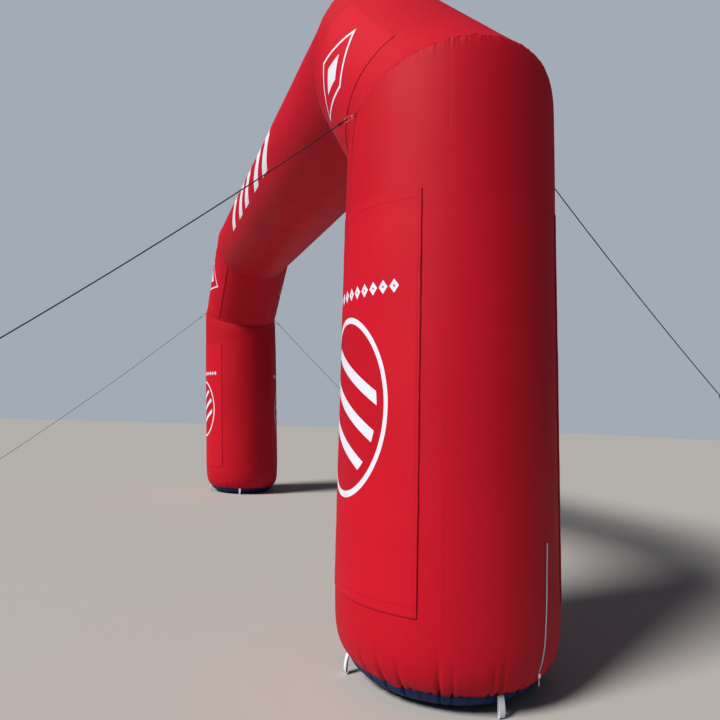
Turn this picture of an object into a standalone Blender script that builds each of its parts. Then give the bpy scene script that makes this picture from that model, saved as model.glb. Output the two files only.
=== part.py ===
"""Inflatable arch of sewn cloth: two legs, two 45 degree shoulders and a beam, standing on two feet.

Metres, +Z up. The arch lies along X, its front faces -Y, and the ground is z = 0.
"""

import math

import bmesh
import bpy
from mathutils import Matrix, Vector

# Driving sizes
TUBE_RADIUS = 0.600
SLIM_RADIUS = 0.582  # shoulders and beam blow up a little slimmer than the legs
SEAM_RADIUS = 0.588  # where two sections are sewn together on a slant
FOOT_X = 3.648  # middle of each foot
TOP_X = 3.586  # middle of each leg at its top seam
LEG_TOP = 3.034
SHOULDER_LENGTH = 1.408
SHOULDER_SLOPE = math.radians(45)
FOOT_BACK = 0.200  # the left foot has settled this much behind the right one
ARCH_Y = -0.0565  # brings the middle of the standing arch to y = 0
SEAM_HEIGHT = 0.100  # where the blue base panel is sewn on
SEAM_GAP = 0.0004
SEGMENTS = 48
MITRE = math.tan(SHOULDER_SLOPE / 2)

BEAM_X = TOP_X - SHOULDER_LENGTH * math.cos(SHOULDER_SLOPE)
BEAM_Z = LEG_TOP + SHOULDER_LENGTH * math.sin(SHOULDER_SLOPE)

# Sections across a tube: place along it, radius, slant (-1 to 1 of the mitre), depth of the pleats
LEG_SECTIONS = (
    (SEAM_HEIGHT + SEAM_GAP, 0.517, 0, 0.008),
    (0.135, 0.549, 0, 0.011),
    (0.190, 0.575, 0, 0.006),
    (0.280, 0.591, 0, 0.002),
    (0.420, TUBE_RADIUS, 0, 0),
    (1.300, TUBE_RADIUS, 0, 0),
    (2.500, TUBE_RADIUS, 0, 0),
    (2.900, TUBE_RADIUS, 1, 0),
    (LEG_TOP - SEAM_GAP, SEAM_RADIUS, 1, 0),
)
FOOT_SECTIONS = (
    (0.000, 0.356, 0, 0),
    (0.012, 0.410, 0, 0),
    (0.034, 0.458, 0, 0),
    (0.064, 0.494, 0, 0.003),
    (SEAM_HEIGHT, 0.517, 0, 0.008),
)
SHOULDER_SECTIONS = (
    (SEAM_GAP, SEAM_RADIUS, -1, 0),
    (0.110, SLIM_RADIUS, -1, 0),
    (SHOULDER_LENGTH / 2, SLIM_RADIUS, 0, 0),
    (SHOULDER_LENGTH - 0.110, SLIM_RADIUS, 1, 0),
    (SHOULDER_LENGTH - SEAM_GAP, SEAM_RADIUS, 1, 0),
)
BEAM_SECTIONS = (
    (SEAM_GAP, SEAM_RADIUS, -1, 0),
    (0.110, SLIM_RADIUS, -1, 0),
    (0.700, SLIM_RADIUS, 0, 0),
    (2 * BEAM_X - 0.700, SLIM_RADIUS, 0, 0),
    (2 * BEAM_X - 0.110, SLIM_RADIUS, 1, 0),
    (2 * BEAM_X - SEAM_GAP, SEAM_RADIUS, 1, 0),
)
PLEATS = (0, 3, 5, 8, 10, 14, 17, 19, 22, 25, 29, 31, 34, 36, 40, 43, 45)  # segments that fold in

# Banners: half the width as an angle, lower and upper end along the tube
LEG_BANNER = (math.radians(48), 0.440, 2.465)
SHOULDER_BANNER = (math.radians(43), 0.205, 1.205)
BANNER_THICK = 0.002
BANNER_LIFT = 0.004
BANNER_CURL = 0.005  # extra lift of the two long edges

# Webbing loops at the feet: leg side, name, angle round the foot, the way the loop faces
LOOPS = (
    (1, "front", -12, (0, -1)),
    (1, "outer", 89, (1, 0)),
    (1, "back", 176, (0, 1)),
    (1, "inner", 272, (-1, 0)),
    (-1, "front", -10, (0, -1)),
    (-1, "inner", 75, (1, 0)),
    (-1, "back", 170, (0, 1)),
    (-1, "outer", 268, (-1, 0)),
)
WEBBING_WIDTH = 0.030
WEBBING_THICK = 0.0025
# Side view of a webbing loop: distance out from the base seam, height
LOOP_OUTLINE = (
    (0.0040, 0.099), (0.0110, 0.089), (0.0160, 0.071), (0.0200, 0.049), (0.0210, 0.026), (0.0180, 0.010),
    (0.0125, 0.004), (0.0070, 0.010), (0.0040, 0.026), (0.0030, 0.048), (0.0020, 0.070), (0.0015, 0.088),
)

# Guy ropes: each runs out square to the arch, from the side of a leg's top seam
ROPE_SLOPE = math.radians(41)
ROPE_DIAMETER = 0.006
ROPE_START = 0.146  # behind the hitch
ROPE_REACH = {1: 2.220, -1: 3.880}  # distance of each leg's rope ends from its seam
ROPE_SAG = 0.009  # of the length, at the middle
ROPE_POINTS = 40
RING_AT = 0.021
HOOK_NEAR = 0.0366
HOOK_FAR = 0.094
LOOP_NEAR = 0.0875
KNOT_AT = 0.131

# Deflation zip of the right leg
ZIP_LINE = (  # height, angle round the leg in degrees
    (0.178, 109.2), (0.202, 109.3), (0.230, 109.8), (0.255, 110.2), (0.290, 110.7), (0.326, 111.1),
    (0.414, 111.7), (0.503, 112.4), (0.639, 112.9), (0.763, 113.5),
)
ZIP_WIDTH = 0.010


def clear_scene():
    for obj in list(bpy.data.objects):
        bpy.data.objects.remove(obj)


def material(name, colour, roughness, metallic=0.0):
    made = bpy.data.materials.new(name)
    made.use_nodes = True
    shader = made.node_tree.nodes["Principled BSDF"]
    shader.inputs["Base Color"].default_value = (*colour, 1)
    shader.inputs["Roughness"].default_value = roughness
    shader.inputs["Metallic"].default_value = metallic
    return made


def add_object(name, mesh, finish):
    """Turns a finished bmesh into an object of the scene."""
    data = bpy.data.meshes.new(name)
    mesh.to_mesh(data)
    mesh.free()
    data.materials.append(finish)
    obj = bpy.data.objects.new(name, data)
    bpy.context.scene.collection.objects.link(obj)
    return obj


class Tube:
    """A run of filled cloth tube. Angles go round it from the front towards its outer side."""

    def __init__(self, start, end, outer, sections, reach=None):
        self.start = Vector(start)
        self.way = (Vector(end) - self.start) / (reach or (Vector(end) - self.start).length)
        self.outer = Vector(outer)
        self.slant_way = Vector((0, 0, 1)) if reach else self.way
        self.sections = sections

    def radius(self, place):
        rows = self.sections
        for low, high in zip(rows, rows[1:]):
            if place <= high[0]:
                share = max(0.0, (place - low[0]) / (high[0] - low[0]))
                return low[1] + share * (high[1] - low[1])
        return rows[-1][1]

    def point(self, angle, place, lift=0.0, slant=0.0, fold=0.0, radius=None):
        radius = (radius or self.radius(place)) + lift - fold
        out = radius * math.sin(angle)
        front = Vector((0, -radius * math.cos(angle), 0))
        slanted = self.slant_way * (slant * MITRE * out)
        return self.start + self.way * place + slanted + self.outer * out + front


def leg_tube(side, sections):
    """side is 1 for the right leg and -1 for the left one, which has the foot that sits back."""
    back = FOOT_BACK if side < 0 else 0.0
    foot = (side * FOOT_X, ARCH_Y + back, 0)
    return Tube(foot, (side * TOP_X, ARCH_Y, LEG_TOP), (side, 0, 0), sections, LEG_TOP)


def shoulder_tube(side):
    rise = Vector((-side * math.cos(SHOULDER_SLOPE), 0, math.sin(SHOULDER_SLOPE)))
    start = Vector((side * TOP_X, ARCH_Y, LEG_TOP))
    outer = (side * math.sin(SHOULDER_SLOPE), 0, math.cos(SHOULDER_SLOPE))
    return Tube(start, start + rise * SHOULDER_LENGTH, outer, SHOULDER_SECTIONS)


def beam_tube():
    return Tube((-BEAM_X, ARCH_Y, BEAM_Z), (BEAM_X, ARCH_Y, BEAM_Z), (0, 0, 1), BEAM_SECTIONS)


def add_tube(name, tube, finish):
    """Bridges the tube's sections into one filled solid, with pleats where it is gathered."""
    mesh = bmesh.new()
    loops = []
    for place, radius, slant, pleat in tube.sections:
        verts = []
        for step in range(SEGMENTS):
            angle = 2 * math.pi * step / SEGMENTS
            fold = pleat if step in PLEATS else 0.0
            verts.append(mesh.verts.new(tube.point(angle, place, 0, slant, fold, radius)))
        loops.append([mesh.edges.new(pair) for pair in zip(verts, verts[1:] + verts[:1])])
    for low, high in zip(loops, loops[1:]):
        bmesh.ops.bridge_loops(mesh, edges=low + high)
    for end in (loops[0], loops[-1]):
        bmesh.ops.contextual_create(mesh, geom=end)
    bmesh.ops.recalc_face_normals(mesh, faces=mesh.faces)
    obj = add_object(name, mesh, finish)
    obj.data.shade_smooth()
    obj.data.set_sharp_from_angle(angle=math.radians(40))
    return obj


def add_sheet(name, tube, middle, half_angle, ends, finish, lift, thick, curl=0.0, across=12, along=4):
    """A thin sheet wrapped on a tube, its long edges standing off a little."""
    mesh = bmesh.new()
    bmesh.ops.create_grid(mesh, x_segments=across, y_segments=along, size=1.0)
    low, high = ends
    for vert in mesh.verts:
        wide, tall = vert.co.x, (vert.co.y + 1) / 2
        raised = lift + (curl if abs(wide) > 0.99 else 0.0)
        place = low + (high - low) * tall
        vert.co = tube.point(middle + half_angle * wide, place, raised)
    mesh.normal_update()
    centre = tube.point(middle, (low + high) / 2) - tube.point(middle + math.pi, (low + high) / 2)
    outward = sum(face.normal.dot(centre) for face in mesh.faces)
    if outward < 0:
        bmesh.ops.reverse_faces(mesh, faces=mesh.faces)
    obj = add_object(name, mesh, finish)
    solid = obj.modifiers.new("Thickness", "SOLIDIFY")
    solid.thickness = thick
    solid.offset = 1
    return obj


def add_webbing_loop(side, name, angle, facing, finish):
    """A strap sewn into the base seam by both ends, so that it hangs as a flat teardrop."""
    foot = leg_tube(side, FOOT_SECTIONS)
    centre = foot.start + foot.way * SEAM_HEIGHT
    seam = foot.radius(SEAM_HEIGHT)
    out = Vector((*facing, 0))
    across = Vector((-facing[1], facing[0], 0))
    spot = Vector((math.sin(math.radians(angle)), -math.cos(math.radians(angle)), 0))
    beside = seam * spot.dot(across)
    nearest = max(0.0, abs(beside) - WEBBING_WIDTH / 2)
    base = centre + across * (beside - WEBBING_WIDTH / 2) + out * (math.sqrt(seam**2 - nearest**2) + 0.001)
    base.z = 0
    mesh = bmesh.new()
    rims = []
    for thick in (0.0, WEBBING_THICK):
        verts = []
        for i, (reach, height) in enumerate(LOOP_OUTLINE):
            before, after = LOOP_OUTLINE[i - 1], LOOP_OUTLINE[(i + 1) % len(LOOP_OUTLINE)]
            inward = Vector((after[1] - before[1], before[0] - after[0])).normalized() * thick
            flat = out * (reach + inward.x) + Vector((0, 0, height + inward.y))
            verts.append(mesh.verts.new(base + flat))
        rims.append([mesh.edges.new(pair) for pair in zip(verts, verts[1:] + verts[:1])])
    faces = bmesh.ops.bridge_loops(mesh, edges=rims[0] + rims[1])["faces"]
    extruded = bmesh.ops.extrude_face_region(mesh, geom=faces)["geom"]
    moved = [item for item in extruded if isinstance(item, bmesh.types.BMVert)]
    bmesh.ops.translate(mesh, verts=moved, vec=across * WEBBING_WIDTH)
    bmesh.ops.recalc_face_normals(mesh, faces=mesh.faces)
    where = "right" if side > 0 else "left"
    return add_object(f"loop_{where}_{name}", mesh, finish)


def rope_route(side):
    """Points of a rope that sags a little between its ends, in its own frame."""
    length = ROPE_REACH[side] - ROPE_START
    shares = [step / (ROPE_POINTS - 1) for step in range(ROPE_POINTS)]
    return [(0, -4 * ROPE_SAG * length * t * (1 - t), ROPE_START + length * t) for t in shares]


def add_wire(name, points, diameter, finish, frame, closed=True, sides=2):
    """A round bar or rope along points given across, up and along the rope's own frame."""
    data = bpy.data.curves.new(name, "CURVE")
    data.dimensions = "3D"
    data.bevel_depth = diameter / 2
    data.bevel_resolution = sides
    data.use_fill_caps = True
    spline = data.splines.new("POLY")
    spline.points.add(len(points) - 1)
    for spot, co in zip(spline.points, points):
        spot.co = (*co, 1)
    spline.use_cyclic_u = closed
    data.materials.append(finish)
    obj = bpy.data.objects.new(name, data)
    obj.matrix_world = frame
    bpy.context.scene.collection.objects.link(obj)
    return obj


def oval(near, far, half_width, count=16):
    """A round-ended oval as pairs of (distance across, distance along)."""
    straight = (far - near) - 2 * half_width
    spots = []
    for step in range(count):
        angle = 2 * math.pi * (step + 0.5) / count
        along = math.sin(angle) * half_width
        along += straight / 2 if along > 0 else -straight / 2
        spots.append((math.cos(angle) * half_width, (near + far) / 2 + along))
    return spots


def ring_outline():
    """A D-ring: a straight bar, and a round bow beyond it."""
    half = 0.013
    spots = [(-half, RING_AT), (-half / 3, RING_AT), (half / 3, RING_AT), (half, RING_AT)]
    for step in range(9):
        angle = math.pi * step / 8
        spots.append((half * math.cos(angle), RING_AT + 0.008 + half * math.sin(angle)))
    return spots


def rope_frame(side, face):
    """Its axes are across the rope, up from it and along it. face is -1 at the front, 1 at the back."""
    way = Vector((0, face * math.cos(ROPE_SLOPE), -math.sin(ROPE_SLOPE)))
    up = Vector((0, face * math.sin(ROPE_SLOPE), math.cos(ROPE_SLOPE)))
    across = Vector((-face, 0, 0))
    frame = Matrix((across, up, way)).transposed().to_4x4()
    frame.translation = (side * TOP_X, ARCH_Y + face * SEAM_RADIUS, LEG_TOP)
    return frame


def add_tab(name, frame, finish):
    """A folded strap out of the seam, round the D-ring's bar."""
    mesh = bmesh.new()
    rims = []
    for radius, tail in ((0.0058, True), (0.0033, False)):
        verts = []
        for step in range(14):
            angle = math.pi + 2 * math.pi * (step + 0.5) / 14
            up, along = radius * math.sin(angle), RING_AT + radius * math.cos(angle)
            if tail and step in (0, 13):
                up, along = math.copysign(0.0022, up), 0.005
            verts.append(mesh.verts.new((-0.011, up, along)))
        rims.append([mesh.edges.new(pair) for pair in zip(verts, verts[1:] + verts[:1])])
    faces = bmesh.ops.bridge_loops(mesh, edges=rims[0] + rims[1])["faces"]
    extruded = bmesh.ops.extrude_face_region(mesh, geom=faces)["geom"]
    moved = [item for item in extruded if isinstance(item, bmesh.types.BMVert)]
    bmesh.ops.translate(mesh, verts=moved, vec=(0.022, 0, 0))
    bmesh.ops.recalc_face_normals(mesh, faces=mesh.faces)
    obj = add_object(name, mesh, finish)
    obj.matrix_world = frame
    return obj


def add_knot(name, frame, place, finish, eye):
    """A knot with the eye of rope that it closes, joined into one body."""
    mesh = bmesh.new()
    bmesh.ops.create_icosphere(mesh, subdivisions=2, radius=1.0)
    bmesh.ops.scale(mesh, verts=mesh.verts, vec=(0.0095, 0.0085, 0.0140))
    bmesh.ops.translate(mesh, verts=mesh.verts, vec=(0, 0, place))
    knot = add_object(name, mesh, finish)
    knot.matrix_world = frame
    spots = [(across, 0, along) for across, along in oval(*eye, count=12)]
    guide = add_wire(name + "_eye_guide", spots, ROPE_DIAMETER, finish, Matrix())
    bpy.context.view_layer.update()
    made = bpy.data.meshes.new_from_object(guide.evaluated_get(bpy.context.evaluated_depsgraph_get()))
    bpy.data.objects.remove(guide)
    cutter = bpy.data.objects.new(name + "_eye", made)
    cutter.matrix_world = frame
    cutter.hide_render = True
    cutter.display_type = "WIRE"
    bpy.context.scene.collection.objects.link(cutter)
    join = knot.modifiers.new("Eye", "BOOLEAN")
    join.operation = "UNION"
    join.object = cutter
    return knot


def add_guy_rope(side, face, steel, strap, cord):
    where = ("right" if side > 0 else "left") + ("_front" if face < 0 else "_back")
    frame = rope_frame(side, face)
    add_tab("tab_" + where, frame, strap)
    ring = [(across, 0, along) for across, along in ring_outline()]
    add_wire("ring_" + where, ring, 0.004, steel, frame, sides=1)
    hook = [(0, up, along) for up, along in oval(HOOK_NEAR, HOOK_FAR, 0.0105)]
    add_wire("hook_" + where, hook, 0.005, steel, frame)
    add_knot("hitch_" + where, frame, KNOT_AT, cord, (LOOP_NEAR, KNOT_AT - 0.004, 0.0075))
    add_wire("rope_" + where, rope_route(side), ROPE_DIAMETER, cord, frame, closed=False)
    far = ROPE_REACH[side]
    add_knot("end_" + where, frame, far + 0.0150, cord, (far + 0.018, far + 0.075, 0.0120))


def add_zip(tube, tape_finish, metal):
    """A narrow strip along its own line on the leg, with a slider and a pull at its foot."""
    half = ZIP_WIDTH / 2 / TUBE_RADIUS
    ends = (ZIP_LINE[0][0], ZIP_LINE[-1][0])
    chain = add_sheet(
        "zip_chain", tube, 0.0, half, ends, tape_finish, 0.0015, 0.003, across=1, along=len(ZIP_LINE) - 1
    )
    for vert in chain.data.vertices:
        row = round((vert.co.z - ends[0]) / (ends[1] - ends[0]) * (len(ZIP_LINE) - 1))
        height, turn = ZIP_LINE[row]
        side = 1 if vert.co.x > tube.start.x - 0.01 and vert.co.x > tube.point(0, vert.co.z).x else -1
        vert.co = tube.point(math.radians(turn) + side * half, height, 0.0015)
    height, turn = ZIP_LINE[0]
    angle = math.radians(turn)
    spot = tube.point(angle, height - 0.012, 0.0118)
    out = Vector((math.sin(angle), -math.cos(angle), 0))
    across = Vector((0, 0, 1)).cross(out)
    frame = Matrix((across, out, Vector((0, 0, 1)))).transposed().to_4x4()
    for name, sizes, drop, finish in (
        ("zip_slider", (0.013, 0.009, 0.022), 0.0, metal),
        ("zip_pull", (0.008, 0.003, 0.034), -0.030, tape_finish),
    ):
        mesh = bmesh.new()
        bmesh.ops.create_cube(mesh, size=1.0)
        bmesh.ops.scale(mesh, verts=mesh.verts, vec=sizes)
        bmesh.ops.bevel(
            mesh, geom=mesh.edges, offset=0.0012, segments=1, profile=0.5, affect="EDGES", material=-1
        )
        obj = add_object(name, mesh, finish)
        frame.translation = spot + Vector((0, 0, drop))
        obj.matrix_world = frame


def main():
    clear_scene()
    red = material("red_cloth", (0.60, 0.010, 0.018), 0.55)
    blue = material("blue_cloth", (0.010, 0.060, 0.190), 0.6)
    printed = material("banner_cloth", (0.62, 0.012, 0.020), 0.55)
    white = material("white_webbing", (0.78, 0.80, 0.84), 0.7)
    steel = material("steel", (0.70, 0.70, 0.72), 0.25, 1.0)
    cord = material("black_cord", (0.012, 0.012, 0.013), 0.6)
    grey = material("zip_tape", (0.50, 0.53, 0.58), 0.5)

    for side, where in ((1, "right"), (-1, "left")):
        leg = leg_tube(side, LEG_SECTIONS)
        shoulder = shoulder_tube(side)
        add_tube("leg_" + where, leg, red)
        add_tube("foot_" + where, leg_tube(side, FOOT_SECTIONS), blue)
        add_tube("shoulder_" + where, shoulder, red)
        for face, middle in (("front", 0.0), ("back", math.pi)):
            for part, tube, sizes in (("leg", leg, LEG_BANNER), ("shoulder", shoulder, SHOULDER_BANNER)):
                name = f"banner_{part}_{where}_{face}"
                add_sheet(
                    name, tube, middle, sizes[0], sizes[1:], printed, BANNER_LIFT, BANNER_THICK, BANNER_CURL
                )
        for face in (-1, 1):
            add_guy_rope(side, face, steel, red, cord)
    add_tube("beam", beam_tube(), red)
    for loop in LOOPS:
        add_webbing_loop(*loop, white)
    add_zip(leg_tube(1, LEG_SECTIONS), grey, steel)


main()
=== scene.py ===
"""Finish of the inflatable arch: blown-up sewn cloth, printed banners, webbing, fittings and guy ropes."""

import math

import bmesh
import bpy
from mathutils import Matrix, Vector, noise


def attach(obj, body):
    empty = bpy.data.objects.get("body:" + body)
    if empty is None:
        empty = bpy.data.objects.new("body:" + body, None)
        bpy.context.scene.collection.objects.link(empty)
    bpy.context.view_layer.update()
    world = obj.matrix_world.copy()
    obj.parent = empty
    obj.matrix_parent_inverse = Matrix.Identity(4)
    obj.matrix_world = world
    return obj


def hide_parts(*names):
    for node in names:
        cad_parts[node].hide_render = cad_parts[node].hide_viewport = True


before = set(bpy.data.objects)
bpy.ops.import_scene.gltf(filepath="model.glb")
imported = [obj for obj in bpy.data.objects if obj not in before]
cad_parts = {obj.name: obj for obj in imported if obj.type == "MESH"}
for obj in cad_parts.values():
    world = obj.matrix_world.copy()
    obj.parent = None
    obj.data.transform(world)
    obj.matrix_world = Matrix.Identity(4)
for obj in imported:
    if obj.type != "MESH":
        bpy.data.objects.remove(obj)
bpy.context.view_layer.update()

# Sizes of the arch, as its source has them
TUBE_RADIUS = 0.600
SLIM_RADIUS = 0.582
SEAM_RADIUS = 0.588
FOOT_X = 3.648
TOP_X = 3.586
LEG_TOP = 3.034
SHOULDER_LENGTH = 1.408
SHOULDER_SLOPE = math.radians(45)
FOOT_BACK = 0.200
ARCH_Y = -0.0565
SEAM_HEIGHT = 0.100
SEAM_GAP = 0.0004
BASE_RADIUS = 0.517
BASE_SWELL = 0.070  # height over which a leg fills out above its gathered foot
MITRE = math.tan(SHOULDER_SLOPE / 2)
BEAM_X = TOP_X - SHOULDER_LENGTH * math.cos(SHOULDER_SLOPE)
BEAM_Z = LEG_TOP + SHOULDER_LENGTH * math.sin(SHOULDER_SLOPE)

LEG_BANNER = (math.radians(48), 0.440, 2.465)
SHOULDER_BANNER = (math.radians(43), 0.205, 1.205)
HEM = 0.050
SIDE_HEM = 0.016
STITCH_HALF = 0.0010

WEBBING_WIDTH = 0.030
WEBBING_THICK = 0.0022
LOOPS = (  # leg side, name, angle round the foot, the way the loop faces
    (1, "front", -12, (0, -1)),
    (1, "outer", 89, (1, 0)),
    (1, "back", 176, (0, 1)),
    (1, "inner", 272, (-1, 0)),
    (-1, "front", -10, (0, -1)),
    (-1, "inner", 75, (1, 0)),
    (-1, "back", 170, (0, 1)),
    (-1, "outer", 268, (-1, 0)),
)
LOOP_OUTLINE = (
    (0.0040, 0.099), (0.0110, 0.089), (0.0160, 0.071), (0.0200, 0.049), (0.0210, 0.026), (0.0180, 0.010),
    (0.0125, 0.004), (0.0070, 0.010), (0.0040, 0.026), (0.0030, 0.048), (0.0020, 0.070), (0.0015, 0.088),
)

ROPE_SLOPE = math.radians(41)
ROPE_DIAMETER = 0.006
ROPE_START = 0.146
ROPE_REACH = {1: 2.220, -1: 3.880}
ROPE_SAG = 0.009
ROPE_POINTS = 40
KNOT_AT = 0.131
LOOP_NEAR = 0.0875

ZIP_LINE = (
    (0.178, 109.2), (0.202, 109.3), (0.230, 109.8), (0.255, 110.2), (0.290, 110.7), (0.326, 111.1),
    (0.414, 111.7), (0.503, 112.4), (0.639, 112.9), (0.763, 113.5),
)
ZIP_WIDTH = 0.010

# How the cloth is sewn: panels, and the gathers above each base seam
PANEL_ANGLE = math.radians(60)
FRONT_SHIFT = math.radians(6.0)  # the seam at the front of a tube lies this much off the even spacing
PANELS = (-6.0, 60, 120, 180, 240, 300)  # degrees
SLIT = (-6.0, 0.010, 0.100)  # the front seam gapes below a leg's rope tab: degrees, depth, fade
# Length and half width of the painted shade that darkens the slit in the cloth's colour
SLIT_LONG = 0.170
SLIT_HALF = 0.0065
GATHERS = (  # angle, depth and height of each crease in the foot, in degrees and metres
    (5, 0.006, 0.030), (17, 0.013, 0.045), (28, 0.016, 0.055), (38.5, 0.014, 0.048), (43, 0.005, 0.024),
    (48, 0.006, 0.028), (53, 0.005, 0.026), (57.5, 0.016, 0.058), (64, 0.011, 0.040), (67.5, 0.006, 0.026),
    (73, 0.006, 0.030), (82.5, 0.011, 0.050), (87, 0.013, 0.055), (93, 0.005, 0.022), (101, 0.010, 0.038),
    (112, 0.008, 0.034), (121, 0.012, 0.046), (130, 0.006, 0.026), (139, 0.013, 0.050), (149, 0.007, 0.030),
    (156, 0.011, 0.044), (168, 0.014, 0.052), (175, 0.006, 0.026), (186, 0.010, 0.040), (198, 0.015, 0.054),
    (206, 0.006, 0.028), (215, 0.012, 0.046), (228, 0.008, 0.034), (236, 0.014, 0.052), (244, 0.005, 0.024),
    (253, 0.011, 0.042), (266, 0.015, 0.056), (275, 0.006, 0.030), (284, 0.012, 0.046), (297, 0.009, 0.036),
    (305, 0.014, 0.052), (313, 0.006, 0.026), (324, 0.013, 0.048), (336, 0.007, 0.032), (343, 0.012, 0.048),
    (354, 0.009, 0.036),
)


def turned(angle):
    """The same direction as angle, from -pi to pi."""
    return (angle + math.pi) % (2 * math.pi) - math.pi


def ripple(x, y, z=0.0):
    """Smooth unevenness from -1 to 1."""
    return noise.noise(Vector((x, y, z)))


def dip(distance, width):
    """1 in the middle of a crease, falling smoothly to 0 beside it."""
    return math.exp(-((distance / width) ** 2))


class Tube:
    """A run of blown-up cloth. Angles go round it from the front towards its outer side."""

    def __init__(self, start, end, outer, full, low_end, high_end, slants, seed):
        self.start = Vector(start)
        self.length = high_end[0]
        self.way = (Vector(end) - self.start) / high_end[0]
        self.outer = Vector(outer)
        self.full = full
        self.low_end = low_end
        self.high_end = high_end
        self.slants = slants
        self.slant_way = Vector((0, 0, 1)) if abs(self.outer.z) < 0.01 else self.way
        self.seed = seed

    def radius(self, place):
        """The radius, drawn in at each end by its sewn seam."""
        (low, low_radius, low_fade), (high, high_radius, high_fade) = self.low_end, self.high_end
        low_part = (self.full - low_radius) * math.exp(-max(0.0, place - low) / low_fade)
        high_part = (self.full - high_radius) * math.exp(-max(0.0, high - place) / high_fade)
        return self.full - low_part - high_part

    def slant(self, place):
        rows = self.slants
        for (low, low_slant), (high, high_slant) in zip(rows, rows[1:]):
            if place <= high:
                share = max(0.0, (place - low) / (high - low))
                return low_slant + share * (high_slant - low_slant)
        return rows[-1][1]

    def point(self, angle, place, lift=0.0, slanted=False):
        radius = self.radius(place) + lift
        out = radius * math.sin(angle)
        front = Vector((0, -radius * math.cos(angle), 0))
        lean = self.slant_way * (self.slant(place) * MITRE * out) if slanted else Vector()
        return self.start + self.way * place + lean + self.outer * out + front


LEG_SLANTS = ((0, 0), (2.5, 0), (2.9, 1), (4, 1))
SHOULDER_SLANTS = ((0, -1), (0.110, -1), (SHOULDER_LENGTH / 2, 0), (SHOULDER_LENGTH - 0.110, 1), (2, 1))
BEAM_SLANTS = ((0, -1), (0.110, -1), (0.700, 0), (2 * BEAM_X - 0.700, 0), (2 * BEAM_X - 0.110, 1), (9, 1))


def leg_tube(side):
    """side is 1 for the right leg and -1 for the left one, which has the foot that sits back."""
    back = FOOT_BACK if side < 0 else 0.0
    return Tube(
        (side * FOOT_X, ARCH_Y + back, 0), (side * TOP_X, ARCH_Y, LEG_TOP), (side, 0, 0), TUBE_RADIUS,
        (SEAM_HEIGHT, BASE_RADIUS, BASE_SWELL), (LEG_TOP, SEAM_RADIUS, 0.040), LEG_SLANTS, 3.1 + side,
    )


def shoulder_tube(side):
    rise = Vector((-side * math.cos(SHOULDER_SLOPE), 0, math.sin(SHOULDER_SLOPE)))
    start = Vector((side * TOP_X, ARCH_Y, LEG_TOP))
    outer = (side * math.sin(SHOULDER_SLOPE), 0, math.cos(SHOULDER_SLOPE))
    return Tube(
        start, start + rise * SHOULDER_LENGTH, outer, SLIM_RADIUS,
        (0.0, SEAM_RADIUS, 0.05), (SHOULDER_LENGTH, SEAM_RADIUS, 0.05), SHOULDER_SLANTS, 11.7 + side,
    )


def beam_tube():
    return Tube(
        (-BEAM_X, ARCH_Y, BEAM_Z), (BEAM_X, ARCH_Y, BEAM_Z), (0, 0, 1), SLIM_RADIUS,
        (0.0, SEAM_RADIUS, 0.05), (2 * BEAM_X, SEAM_RADIUS, 0.05), BEAM_SLANTS, 23.9,
    )


def stations(low, high, step, close, fine, reach):
    """Places from low to high, step apart, and as little as fine apart near the places in close."""
    spots = [low]
    while spots[-1] < high:
        near = min((abs(spots[-1] - at) for at in close), default=reach)
        spots.append(spots[-1] + fine + (step - fine) * min(1.0, near / reach))
    share = (high - low) / (spots[-1] - low)
    return [low + (spot - low) * share for spot in spots]


# Cloth details, as how far the surface dips below the plain tube


def gather_dip(angle, height):
    """The creases of the cloth that the base seam gathers. height is above the seam."""
    total = 0.0
    for crease, depth, tall in GATHERS:
        off = abs(turned(angle - math.radians(crease))) * BASE_RADIUS
        if off < 0.08:
            spread = 0.0046 + 0.045 * abs(height)
            total += 2.2 * depth * math.exp(-abs(height) / tall * 0.9) * dip(off, spread)
    return total


def seam_rise(angle, seed):
    """The base seam rises at its creases and hangs in lobes between them."""
    return 0.45 * gather_dip(angle, 0.0) + 0.006 * ripple(angle * 4.2, seed, 7.0) - 0.004


def panel_dip(tube, angle, place):
    """The stitched valleys where panels meet, slightly puckered."""
    off = min(abs(turned(angle - math.radians(seam))) for seam in PANELS) * tube.full
    if off > 0.09:
        return 0.0
    pucker = ripple(place * 26, tube.seed, 2.0) * 0.0009 * math.exp(-off / 0.020)
    return 0.0008 * dip(off, 0.0075) + 0.0003 * dip(off, 0.03) + pucker


def mitre_dip(tube, angle, away):
    """Puckers that run away from a slanted seam, which is sewn a little tighter than the cloth."""
    fade = math.exp(-away / 0.034)
    if fade < 0.02:
        return 0.0
    arc = angle * tube.full
    many = ripple(arc * 26, tube.seed, 5.0) + 0.8 * ripple(arc * 55, tube.seed, 9.0)
    return fade * (0.0034 * many + 0.0014)


def soft_dip(tube, angle, place):
    """Slow unevenness of the blown-up cloth."""
    x, y = math.sin(angle) * 1.5, math.cos(angle) * 1.5
    slow = noise.noise(Vector((x, y + tube.seed, place * 1.6)))
    rings = noise.noise(Vector((x * 0.7, y * 0.7 + tube.seed, place * 6.5)))
    return 0.0020 * slow + 0.0011 * rings


# Mesh making


def piece(name, mesh, finish, body="root"):
    """Turns a finished bmesh into a piece that rides on the arch."""
    data = bpy.data.meshes.new(name)
    mesh.to_mesh(data)
    mesh.free()
    data.materials.append(finish)
    obj = bpy.data.objects.new(name, data)
    bpy.context.scene.collection.objects.link(obj)
    obj.data.shade_smooth()
    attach(obj, body)
    return obj


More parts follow.
